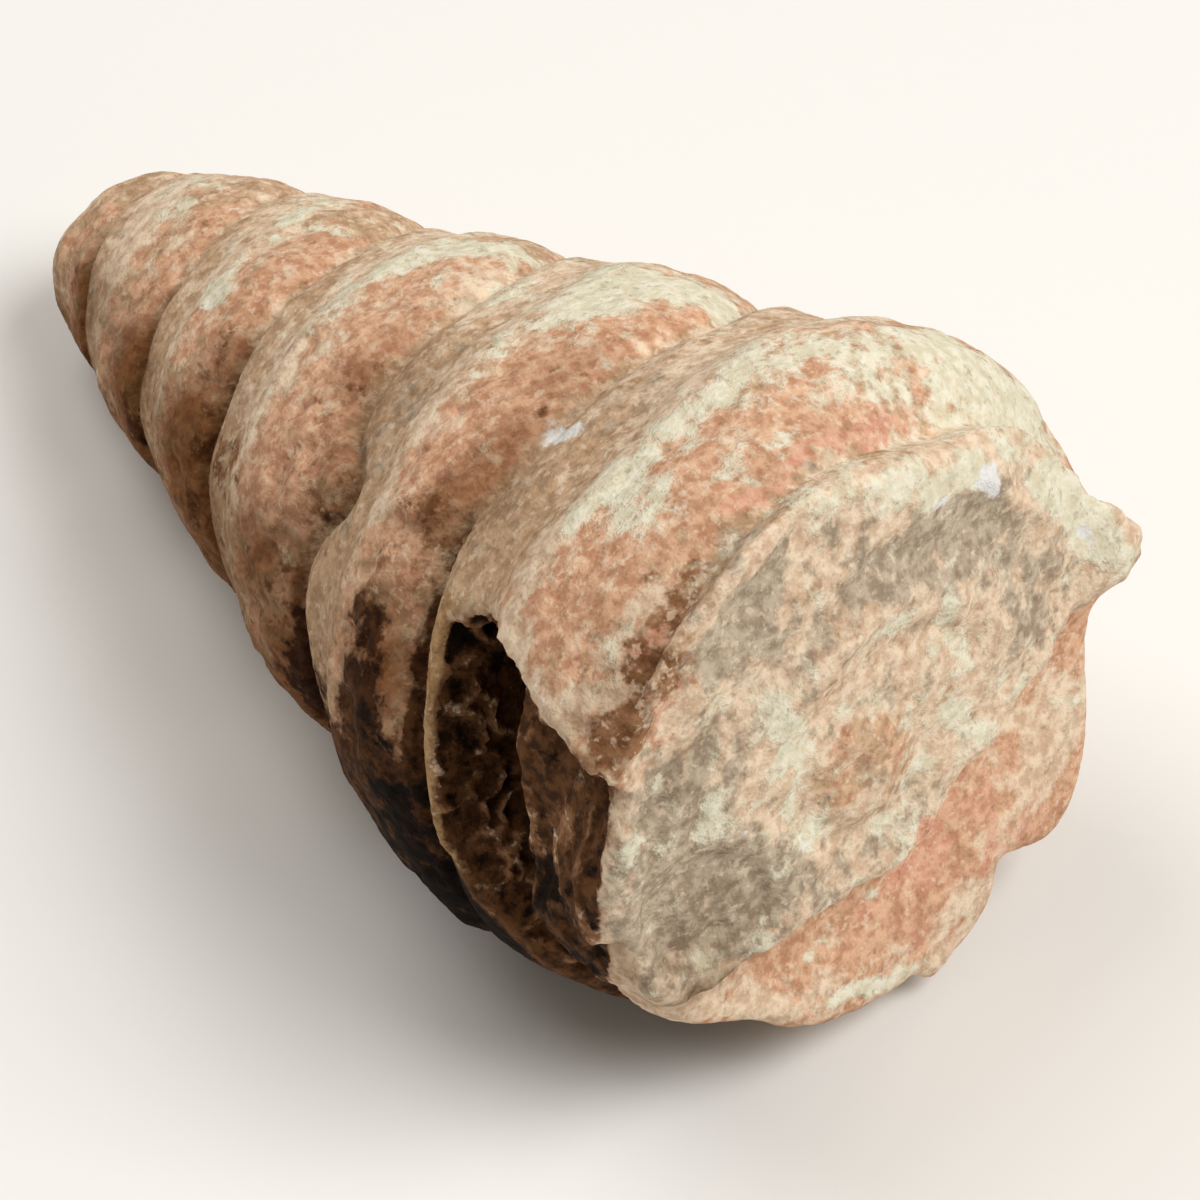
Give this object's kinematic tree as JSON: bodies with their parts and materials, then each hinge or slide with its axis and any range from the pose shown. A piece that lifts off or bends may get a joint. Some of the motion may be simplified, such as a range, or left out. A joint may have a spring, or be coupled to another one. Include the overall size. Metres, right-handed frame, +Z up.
{
  "type": "fossil turret snail",
  "caption": "Stone fossil of a tall spiral turret snail shell, lying on its side, with a broken base face and a hollow broken into its last whorl.",
  "frame": {"origin": "middle of the bounding box, on the surface the fossil lies on", "axes": "+Z up, +X along the shell from the tip to the broken base"},
  "size_m": [0.073, 0.0406, 0.0381],
  "materials": {
    "fossil_stone": "dry, rough, mottled cream, orange-pink and grey-brown limestone"
  },
  "bodies": {
    "root": {"turret_shell": "fossil_stone"}
  },
  "joints": []
}
